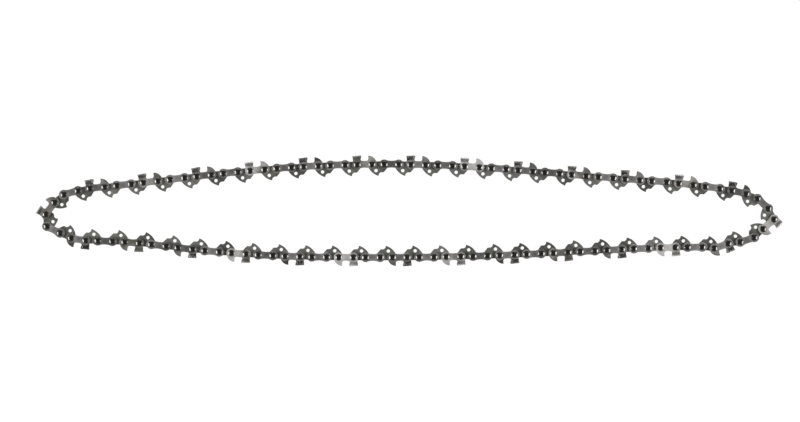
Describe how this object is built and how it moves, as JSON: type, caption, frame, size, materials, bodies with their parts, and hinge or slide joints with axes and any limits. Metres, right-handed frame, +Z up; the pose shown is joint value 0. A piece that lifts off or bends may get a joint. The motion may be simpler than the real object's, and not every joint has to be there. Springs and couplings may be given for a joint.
{
  "type": "chainsaw chain loop",
  "caption": "Closed loop of saw chain lying on its side: hooked drive links, tie straps and left and right cutters joined by domed rivets, hinged so that the links fold to and fro.",
  "frame": {"origin": "middle of the loop's box, on the surface that it lies on", "axes": "+X along the loop, +Y across it towards the run that moves to the right, +Z up, across the chain's thickness"},
  "size_m": [0.5184, 0.0772, 0.0064],
  "materials": {
    "cutter_steel": "thin hard chrome over steel, satin",
    "strap_steel": "blued, oiled steel",
    "drive_steel": "dark, oiled steel"
  },
  "bodies": {
    "right_cutter_link_01": {"right_cutter_link_01": "cutter_steel"},
    "strap_link_01": {"strap_link_01": "strap_steel"},
    "left_cutter_link_01": {"left_cutter_link_01": "cutter_steel"},
    "strap_link_02": {"strap_link_02": "strap_steel"},
    "right_cutter_link_02": {"right_cutter_link_02": "cutter_steel"},
    "strap_link_03": {"strap_link_03": "strap_steel"},
    "left_cutter_link_02": {"left_cutter_link_02": "cutter_steel"},
    "strap_link_04": {"strap_link_04": "strap_steel"},
    "right_cutter_link_03": {"right_cutter_link_03": "cutter_steel"},
    "strap_link_05": {"strap_link_05": "strap_steel"},
    "left_cutter_link_03": {"left_cutter_link_03": "cutter_steel"},
    "strap_link_06": {"strap_link_06": "strap_steel"},
    "right_cutter_link_04": {"right_cutter_link_04": "cutter_steel"},
    "strap_link_07": {"strap_link_07": "strap_steel"},
    "left_cutter_link_04": {"left_cutter_link_04": "cutter_steel"},
    "strap_link_08": {"strap_link_08": "strap_steel"},
    "right_cutter_link_05": {"right_cutter_link_05": "cutter_steel"},
    "strap_link_09": {"strap_link_09": "strap_steel"},
    "left_cutter_link_05": {"left_cutter_link_05": "cutter_steel"},
    "strap_link_10": {"strap_link_10": "strap_steel"},
    "right_cutter_link_06": {"right_cutter_link_06": "cutter_steel"},
    "strap_link_11": {"strap_link_11": "strap_steel"},
    "left_cutter_link_06": {"left_cutter_link_06": "cutter_steel"},
    "strap_link_12": {"strap_link_12": "strap_steel"},
    "right_cutter_link_07": {"right_cutter_link_07": "cutter_steel"},
    "strap_link_13": {"strap_link_13": "strap_steel"},
    "left_cutter_link_07": {"left_cutter_link_07": "cutter_steel"},
    "strap_link_14": {"strap_link_14": "strap_steel"},
    "drive_link_28": {"drive_link_28": "drive_steel"},
    "right_cutter_link_08": {"right_cutter_link_08": "cutter_steel"},
    "strap_link_15": {"strap_link_15": "strap_steel"},
    "left_cutter_link_08": {"left_cutter_link_08": "cutter_steel"},
    "drive_link_31": {"drive_link_31": "drive_steel"},
    "strap_link_16": {"strap_link_16": "strap_steel"},
    "right_cutter_link_09": {"right_cutter_link_09": "cutter_steel"},
    "strap_link_17": {"strap_link_17": "strap_steel"},
    "left_cutter_link_09": {"left_cutter_link_09": "cutter_steel"},
    "strap_link_18": {"strap_link_18": "strap_steel"},
    "right_cutter_link_10": {"right_cutter_link_10": "cutter_steel"},
    "strap_link_19": {"strap_link_19": "strap_steel"},
    "left_cutter_link_10": {"left_cutter_link_10": "cutter_steel"},
    "strap_link_20": {"strap_link_20": "strap_steel"},
    "right_cutter_link_11": {"right_cutter_link_11": "cutter_steel"},
    "strap_link_21": {"strap_link_21": "strap_steel"},
    "left_cutter_link_11": {"left_cutter_link_11": "cutter_steel"},
    "strap_link_22": {"strap_link_22": "strap_steel"},
    "right_cutter_link_12": {"right_cutter_link_12": "cutter_steel"},
    "strap_link_23": {"strap_link_23": "strap_steel"},
    "left_cutter_link_12": {"left_cutter_link_12": "cutter_steel"},
    "strap_link_24": {"strap_link_24": "strap_steel"},
    "right_cutter_link_13": {"right_cutter_link_13": "cutter_steel"},
    "strap_link_25": {"strap_link_25": "strap_steel"},
    "left_cutter_link_13": {"left_cutter_link_13": "cutter_steel"},
    "strap_link_26": {"strap_link_26": "strap_steel"},
    "right_cutter_link_14": {"right_cutter_link_14": "cutter_steel"},
    "strap_link_27": {"strap_link_27": "strap_steel"},
    "left_cutter_link_14": {"left_cutter_link_14": "cutter_steel"},
    "drive_link_55": {"drive_link_55": "drive_steel"},
    "strap_link_28": {"strap_link_28": "strap_steel"},
    "drive_link_56": {"drive_link_56": "drive_steel"}
  },
  "joints": [
    {"name": "left_cutter_link_04_pivot", "type": "hinge", "parent": "strap_link_07", "child": "left_cutter_link_04", "pos_m": [0.00089, 0.03221, 0.00319], "axis": [0, 0, 1], "range_deg": [-0.3, 11.33]},
    {"name": "strap_link_08_pivot", "type": "hinge", "parent": "left_cutter_link_04", "child": "strap_link_08", "pos_m": [0.01951, 0.0317, 0.00319], "axis": [0, 0, 1], "range_deg": [-22.3, 0.3]},
    {"name": "right_cutter_link_05_pivot", "type": "hinge", "parent": "strap_link_08", "child": "right_cutter_link_05", "pos_m": [0.03812, 0.03085, 0.00319], "axis": [0, 0, 1], "range_deg": [-0.3, 22.29]},
    {"name": "strap_link_09_pivot", "type": "hinge", "parent": "right_cutter_link_05", "child": "strap_link_09", "pos_m": [0.05672, 0.02964, 0.00319], "axis": [0, 0, 1], "range_deg": [-22.22, 0.3]},
    {"name": "left_cutter_link_05_pivot", "type": "hinge", "parent": "strap_link_09", "child": "left_cutter_link_05", "pos_m": [0.07529, 0.02822, 0.00319], "axis": [0, 0, 1], "range_deg": [-0.3, 22.21]},
    {"name": "strap_link_10_pivot", "type": "hinge", "parent": "left_cutter_link_05", "child": "strap_link_10", "pos_m": [0.09386, 0.02672, 0.00319], "axis": [0, 0, 1], "range_deg": [-22.19, 0.3]},
    {"name": "right_cutter_link_06_pivot", "type": "hinge", "parent": "strap_link_10", "child": "right_cutter_link_06", "pos_m": [0.11242, 0.02513, 0.00319], "axis": [0, 0, 1], "range_deg": [-0.3, 22.19]},
    {"name": "strap_link_11_pivot", "type": "hinge", "parent": "right_cutter_link_06", "child": "strap_link_11", "pos_m": [0.13099, 0.02356, 0.00319], "axis": [0, 0, 1], "range_deg": [-22.21, 0.3]},
    {"name": "left_cutter_link_06_pivot", "type": "hinge", "parent": "strap_link_11", "child": "left_cutter_link_06", "pos_m": [0.14956, 0.02211, 0.00319], "axis": [0, 0, 1], "range_deg": [-0.3, 22.21]},
    {"name": "strap_link_12_pivot", "type": "hinge", "parent": "left_cutter_link_06", "child": "strap_link_12", "pos_m": [0.16814, 0.02077, 0.00319], "axis": [0, 0, 1], "range_deg": [-22.18, 0.3]},
    {"name": "right_cutter_link_07_pivot", "type": "hinge", "parent": "strap_link_12", "child": "right_cutter_link_07", "pos_m": [0.1867, 0.0191, 0.00319], "axis": [0, 0, 1], "range_deg": [-0.3, 22.16]},
    {"name": "strap_link_13_pivot", "type": "hinge", "parent": "right_cutter_link_07", "child": "strap_link_13", "pos_m": [0.20519, 0.01689, 0.00319], "axis": [0, 0, 1], "range_deg": [-22.02, 0.3]},
    {"name": "left_cutter_link_07_pivot", "type": "hinge", "parent": "strap_link_13", "child": "left_cutter_link_07", "pos_m": [0.22362, 0.01413, 0.00319], "axis": [0, 0, 1], "range_deg": [-0.3, 22.09]},
    {"name": "strap_link_14_pivot", "type": "hinge", "parent": "left_cutter_link_07", "child": "strap_link_14", "pos_m": [0.24135, 0.00856, 0.00319], "axis": [0, 0, 1], "range_deg": [-21.43, 0.3]},
    {"name": "drive_link_28_pivot", "type": "hinge", "parent": "strap_link_14", "child": "drive_link_28", "pos_m": [0.24879, 0.00159, 0.00319], "axis": [0, 0, 1], "range_deg": [-10.46, 0.3]},
    {"name": "right_end_bend", "type": "hinge", "parent": "drive_link_28", "child": "right_cutter_link_08", "pos_m": [0.25279, -0.00583, 0.00319], "axis": [0, 0, 1], "range_deg": [0, 30]},
    {"name": "strap_link_15_pivot", "type": "hinge", "parent": "right_cutter_link_08", "child": "strap_link_15", "pos_m": [0.23906, -0.01842, 0.00319], "axis": [0, 0, 1], "range_deg": [-5.89, 0.3]},
    {"name": "left_cutter_link_08_pivot", "type": "hinge", "parent": "strap_link_15", "child": "left_cutter_link_08", "pos_m": [0.22101, -0.0226, 0.00319], "axis": [0, 0, 1], "range_deg": [-21.27, 0.3]},
    {"name": "drive_link_31_pivot", "type": "hinge", "parent": "left_cutter_link_08", "child": "drive_link_31", "pos_m": [0.21138, -0.02597, 0.00319], "axis": [0, 0, 1], "range_deg": [-0.3, 21.44]},
    {"name": "strap_link_16_pivot", "type": "hinge", "parent": "drive_link_31", "child": "strap_link_16", "pos_m": [0.203, -0.02508, 0.00319], "axis": [0, 0, 1], "range_deg": [-21.87, 0.3]},
    {"name": "right_cutter_link_09_pivot", "type": "hinge", "parent": "strap_link_16", "child": "right_cutter_link_09", "pos_m": [0.18437, -0.02532, 0.00319], "axis": [0, 0, 1], "range_deg": [-0.3, 21.62]},
    {"name": "strap_link_17_pivot", "type": "hinge", "parent": "right_cutter_link_09", "child": "strap_link_17", "pos_m": [0.16575, -0.02586, 0.00319], "axis": [0, 0, 1], "range_deg": [-21.46, 0.3]},
    {"name": "left_cutter_link_09_pivot", "type": "hinge", "parent": "strap_link_17", "child": "left_cutter_link_09", "pos_m": [0.14714, -0.02669, 0.00319], "axis": [0, 0, 1], "range_deg": [-0.3, 21.48]},
    {"name": "strap_link_18_pivot", "type": "hinge", "parent": "left_cutter_link_09", "child": "strap_link_18", "pos_m": [0.12853, -0.02768, 0.00319], "axis": [0, 0, 1], "range_deg": [-21.44, 0.3]},
    {"name": "right_cutter_link_10_pivot", "type": "hinge", "parent": "strap_link_18", "child": "right_cutter_link_10", "pos_m": [0.10993, -0.02864, 0.00319], "axis": [0, 0, 1], "range_deg": [-0.3, 21.44]},
    {"name": "strap_link_19_pivot", "type": "hinge", "parent": "right_cutter_link_10", "child": "strap_link_19", "pos_m": [0.09132, -0.02958, 0.00319], "axis": [0, 0, 1], "range_deg": [-21.48, 0.3]},
    {"name": "left_cutter_link_10_pivot", "type": "hinge", "parent": "strap_link_19", "child": "left_cutter_link_10", "pos_m": [0.07271, -0.03042, 0.00319], "axis": [0, 0, 1], "range_deg": [-0.3, 21.47]},
    {"name": "strap_link_20_pivot", "type": "hinge", "parent": "left_cutter_link_10", "child": "strap_link_20", "pos_m": [0.05409, -0.03109, 0.00319], "axis": [0, 0, 1], "range_deg": [-21.55, 0.3]},
    {"name": "right_cutter_link_11_pivot", "type": "hinge", "parent": "strap_link_20", "child": "right_cutter_link_11", "pos_m": [0.03547, -0.0316, 0.00319], "axis": [0, 0, 1], "range_deg": [-0.3, 21.54]},
    {"name": "strap_link_21_pivot", "type": "hinge", "parent": "right_cutter_link_11", "child": "strap_link_21", "pos_m": [0.01684, -0.03196, 0.00319], "axis": [0, 0, 1], "range_deg": [-21.62, 0.3]},
    {"name": "right_cutter_link_04_pivot", "type": "hinge", "parent": "strap_link_07", "child": "right_cutter_link_04", "pos_m": [-0.01774, 0.03236, 0.00319], "axis": [0, 0, 1], "range_deg": [-0.3, 11.34]},
    {"name": "strap_link_06_pivot", "type": "hinge", "parent": "right_cutter_link_04", "child": "strap_link_06", "pos_m": [-0.03637, 0.03217, 0.00319], "axis": [0, 0, 1], "range_deg": [-22.49, 0.3]},
    {"name": "left_cutter_link_03_pivot", "type": "hinge", "parent": "strap_link_06", "child": "left_cutter_link_03", "pos_m": [-0.05499, 0.03162, 0.00319], "axis": [0, 0, 1], "range_deg": [-0.3, 22.5]},
    {"name": "strap_link_05_pivot", "type": "hinge", "parent": "left_cutter_link_03", "child": "strap_link_05", "pos_m": [-0.0736, 0.03071, 0.00319], "axis": [0, 0, 1], "range_deg": [-22.6, 0.3]},
    {"name": "right_cutter_link_03_pivot", "type": "hinge", "parent": "strap_link_05", "child": "right_cutter_link_03", "pos_m": [-0.09218, 0.02944, 0.00319], "axis": [0, 0, 1], "range_deg": [-0.3, 22.61]},
    {"name": "strap_link_04_pivot", "type": "hinge", "parent": "right_cutter_link_03", "child": "strap_link_04", "pos_m": [-0.11074, 0.02781, 0.00319], "axis": [0, 0, 1], "range_deg": [-22.69, 0.3]},
    {"name": "left_cutter_link_02_pivot", "type": "hinge", "parent": "strap_link_04", "child": "left_cutter_link_02", "pos_m": [-0.12928, 0.02595, 0.00319], "axis": [0, 0, 1], "range_deg": [-0.3, 22.69]},
    {"name": "strap_link_03_pivot", "type": "hinge", "parent": "left_cutter_link_02", "child": "strap_link_03", "pos_m": [-0.1478, 0.02392, 0.00319], "axis": [0, 0, 1], "range_deg": [-22.74, 0.3]},
    {"name": "right_cutter_link_02_pivot", "type": "hinge", "parent": "strap_link_03", "child": "right_cutter_link_02", "pos_m": [-0.1663, 0.02173, 0.00319], "axis": [0, 0, 1], "range_deg": [-0.3, 22.74]},
    {"name": "strap_link_02_pivot", "type": "hinge", "parent": "right_cutter_link_02", "child": "strap_link_02", "pos_m": [-0.1848, 0.01957, 0.00319], "axis": [0, 0, 1], "range_deg": [-22.72, 0.3]},
    {"name": "left_cutter_link_01_pivot", "type": "hinge", "parent": "strap_link_02", "child": "left_cutter_link_01", "pos_m": [-0.20332, 0.01752, 0.00319], "axis": [0, 0, 1], "range_deg": [-0.3, 22.72]},
    {"name": "strap_link_01_pivot", "type": "hinge", "parent": "left_cutter_link_01", "child": "strap_link_01", "pos_m": [-0.22185, 0.01558, 0.00319], "axis": [0, 0, 1], "range_deg": [-23.05, 0.3]},
    {"name": "right_cutter_link_01_pivot", "type": "hinge", "parent": "strap_link_01", "child": "right_cutter_link_01", "pos_m": [-0.23998, 0.01133, 0.00319], "axis": [0, 0, 1], "range_deg": [-0.3, 27.38]},
    {"name": "drive_link_56_pivot", "type": "hinge", "parent": "right_cutter_link_01", "child": "drive_link_56", "pos_m": [-0.25247, -0.00234, 0.00319], "axis": [0, 0, 1], "range_deg": [-33.82, 0.3]},
    {"name": "strap_link_28_pivot", "type": "hinge", "parent": "drive_link_56", "child": "strap_link_28", "pos_m": [-0.25165, -0.01073, 0.00319], "axis": [0, 0, 1], "range_deg": [-0.3, 29.43]},
    {"name": "drive_link_55_pivot", "type": "hinge", "parent": "strap_link_28", "child": "drive_link_55", "pos_m": [-0.24256, -0.01537, 0.00319], "axis": [0, 0, 1], "range_deg": [-23.25, 0.3]},
    {"name": "left_cutter_link_14_pivot", "type": "hinge", "parent": "drive_link_55", "child": "left_cutter_link_14", "pos_m": [-0.23491, -0.01889, 0.00319], "axis": [0, 0, 1], "range_deg": [-0.3, 23.15]},
    {"name": "strap_link_27_pivot", "type": "hinge", "parent": "left_cutter_link_14", "child": "strap_link_27", "pos_m": [-0.22485, -0.0206, 0.00319], "axis": [0, 0, 1], "range_deg": [-22.1, 0.3]},
    {"name": "right_cutter_link_14_pivot", "type": "hinge", "parent": "strap_link_27", "child": "right_cutter_link_14", "pos_m": [-0.20623, -0.02112, 0.00319], "axis": [0, 0, 1], "range_deg": [-0.3, 21.76]},
    {"name": "strap_link_26_pivot", "type": "hinge", "parent": "right_cutter_link_14", "child": "strap_link_26", "pos_m": [-0.18764, -0.02239, 0.00319], "axis": [0, 0, 1], "range_deg": [-25.39, 0.3]},
    {"name": "left_cutter_link_13_pivot", "type": "hinge", "parent": "strap_link_26", "child": "left_cutter_link_13", "pos_m": [-0.16912, -0.02442, 0.00319], "axis": [0, 0, 1], "range_deg": [-0.3, 25.29]},
    {"name": "strap_link_25_pivot", "type": "hinge", "parent": "left_cutter_link_13", "child": "strap_link_25", "pos_m": [-0.15063, -0.02667, 0.00319], "axis": [0, 0, 1], "range_deg": [-22.21, 0.3]},
    {"name": "right_cutter_link_13_pivot", "type": "hinge", "parent": "strap_link_25", "child": "right_cutter_link_13", "pos_m": [-0.13209, -0.02851, 0.00319], "axis": [0, 0, 1], "range_deg": [-0.3, 22.3]},
    {"name": "strap_link_24_pivot", "type": "hinge", "parent": "right_cutter_link_13", "child": "strap_link_24", "pos_m": [-0.11352, -0.02995, 0.00319], "axis": [0, 0, 1], "range_deg": [-21.94, 0.3]},
    {"name": "left_cutter_link_12_pivot", "type": "hinge", "parent": "strap_link_24", "child": "left_cutter_link_12", "pos_m": [-0.09492, -0.03101, 0.00319], "axis": [0, 0, 1], "range_deg": [-0.3, 21.99]},
    {"name": "strap_link_23_pivot", "type": "hinge", "parent": "left_cutter_link_12", "child": "strap_link_23", "pos_m": [-0.0763, -0.03171, 0.00319], "axis": [0, 0, 1], "range_deg": [-21.74, 0.3]},
    {"name": "right_cutter_link_12_pivot", "type": "hinge", "parent": "strap_link_23", "child": "right_cutter_link_12", "pos_m": [-0.05767, -0.03205, 0.00319], "axis": [0, 0, 1], "range_deg": [-0.3, 21.77]},
    {"name": "strap_link_22_pivot", "type": "hinge", "parent": "right_cutter_link_12", "child": "strap_link_22", "pos_m": [-0.03905, -0.03223, 0.00319], "axis": [0, 0, 1], "range_deg": [-21.68, 0.3]},
    {"name": "left_cutter_link_11_pivot", "type": "hinge", "parent": "strap_link_22", "child": "left_cutter_link_11", "pos_m": [-0.02042, -0.03227, 0.00319], "axis": [0, 0, 1], "range_deg": [-0.3, 21.69]}
  ],
  "couplings": [
    {"joint": "left_cutter_link_04_pivot", "follows": "right_end_bend", "ratio": 0.30133},
    {"joint": "strap_link_08_pivot", "follows": "right_end_bend", "ratio": -0.60111},
    {"joint": "right_cutter_link_05_pivot", "follows": "right_end_bend", "ratio": 0.60076},
    {"joint": "strap_link_09_pivot", "follows": "right_end_bend", "ratio": -0.59886},
    {"joint": "left_cutter_link_05_pivot", "follows": "right_end_bend", "ratio": 0.59867},
    {"joint": "strap_link_10_pivot", "follows": "right_end_bend", "ratio": -0.59808},
    {"joint": "right_cutter_link_06_pivot", "follows": "right_end_bend", "ratio": 0.59804},
    {"joint": "strap_link_11_pivot", "follows": "right_end_bend", "ratio": -0.59852},
    {"joint": "left_cutter_link_06_pivot", "follows": "right_end_bend", "ratio": 0.59866},
    {"joint": "strap_link_12_pivot", "follows": "right_end_bend", "ratio": -0.59793},
    {"joint": "right_cutter_link_07_pivot", "follows": "right_end_bend", "ratio": 0.59714},
    {"joint": "strap_link_13_pivot", "follows": "right_end_bend", "ratio": -0.59355},
    {"joint": "left_cutter_link_07_pivot", "follows": "right_end_bend", "ratio": 0.59523},
    {"joint": "strap_link_14_pivot", "follows": "right_end_bend", "ratio": -0.57743},
    {"joint": "drive_link_28_pivot", "follows": "right_end_bend", "ratio": -0.27772},
    {"joint": "strap_link_15_pivot", "follows": "right_end_bend", "ratio": -0.1528},
    {"joint": "left_cutter_link_08_pivot", "follows": "right_end_bend", "ratio": -0.57286},
    {"joint": "drive_link_31_pivot", "follows": "right_end_bend", "ratio": 0.57752},
    {"joint": "strap_link_16_pivot", "follows": "right_end_bend", "ratio": -0.58944},
    {"joint": "right_cutter_link_09_pivot", "follows": "right_end_bend", "ratio": 0.58252},
    {"joint": "strap_link_17_pivot", "follows": "right_end_bend", "ratio": -0.57825},
    {"joint": "left_cutter_link_09_pivot", "follows": "right_end_bend", "ratio": 0.57866},
    {"joint": "strap_link_18_pivot", "follows": "right_end_bend", "ratio": -0.57772},
    {"joint": "right_cutter_link_10_pivot", "follows": "right_end_bend", "ratio": 0.57768},
    {"joint": "strap_link_19_pivot", "follows": "right_end_bend", "ratio": -0.57857},
    {"joint": "left_cutter_link_10_pivot", "follows": "right_end_bend", "ratio": 0.57833},
    {"joint": "strap_link_20_pivot", "follows": "right_end_bend", "ratio": -0.58065},
    {"joint": "right_cutter_link_11_pivot", "follows": "right_end_bend", "ratio": 0.58034},
    {"joint": "strap_link_21_pivot", "follows": "right_end_bend", "ratio": -0.5825},
    {"joint": "right_cutter_link_04_pivot", "follows": "right_end_bend", "ratio": 0.30161},
    {"joint": "strap_link_06_pivot", "follows": "right_end_bend", "ratio": -0.60634},
    {"joint": "left_cutter_link_03_pivot", "follows": "right_end_bend", "ratio": 0.6066},
    {"joint": "strap_link_05_pivot", "follows": "right_end_bend", "ratio": -0.60924},
    {"joint": "right_cutter_link_03_pivot", "follows": "right_end_bend", "ratio": 0.60949},
    {"joint": "strap_link_04_pivot", "follows": "right_end_bend", "ratio": -0.61174},
    {"joint": "left_cutter_link_02_pivot", "follows": "right_end_bend", "ratio": 0.61188},
    {"joint": "strap_link_03_pivot", "follows": "right_end_bend", "ratio": -0.61314},
    {"joint": "right_cutter_link_02_pivot", "follows": "right_end_bend", "ratio": 0.61319},
    {"joint": "strap_link_02_pivot", "follows": "right_end_bend", "ratio": -0.61265},
    {"joint": "left_cutter_link_01_pivot", "follows": "right_end_bend", "ratio": 0.61257},
    {"joint": "strap_link_01_pivot", "follows": "right_end_bend", "ratio": -0.62159},
    {"joint": "right_cutter_link_01_pivot", "follows": "right_end_bend", "ratio": 0.73983},
    {"joint": "drive_link_56_pivot", "follows": "right_end_bend", "ratio": -0.91586},
    {"joint": "strap_link_28_pivot", "follows": "right_end_bend", "ratio": 0.796},
    {"joint": "drive_link_55_pivot", "follows": "right_end_bend", "ratio": -0.62693},
    {"joint": "left_cutter_link_14_pivot", "follows": "right_end_bend", "ratio": 0.62444},
    {"joint": "strap_link_27_pivot", "follows": "right_end_bend", "ratio": -0.59551},
    {"joint": "right_cutter_link_14_pivot", "follows": "right_end_bend", "ratio": 0.5863},
    {"joint": "strap_link_26_pivot", "follows": "right_end_bend", "ratio": -0.68553},
    {"joint": "left_cutter_link_13_pivot", "follows": "right_end_bend", "ratio": 0.6828},
    {"joint": "strap_link_25_pivot", "follows": "right_end_bend", "ratio": -0.59866},
    {"joint": "right_cutter_link_13_pivot", "follows": "right_end_bend", "ratio": 0.60102},
    {"joint": "strap_link_24_pivot", "follows": "right_end_bend", "ratio": -0.5913},
    {"joint": "left_cutter_link_12_pivot", "follows": "right_end_bend", "ratio": 0.59274},
    {"joint": "strap_link_23_pivot", "follows": "right_end_bend", "ratio": -0.58582},
    {"joint": "right_cutter_link_12_pivot", "follows": "right_end_bend", "ratio": 0.58659},
    {"joint": "strap_link_22_pivot", "follows": "right_end_bend", "ratio": -0.58402},
    {"joint": "left_cutter_link_11_pivot", "follows": "right_end_bend", "ratio": 0.58434}
  ]
}
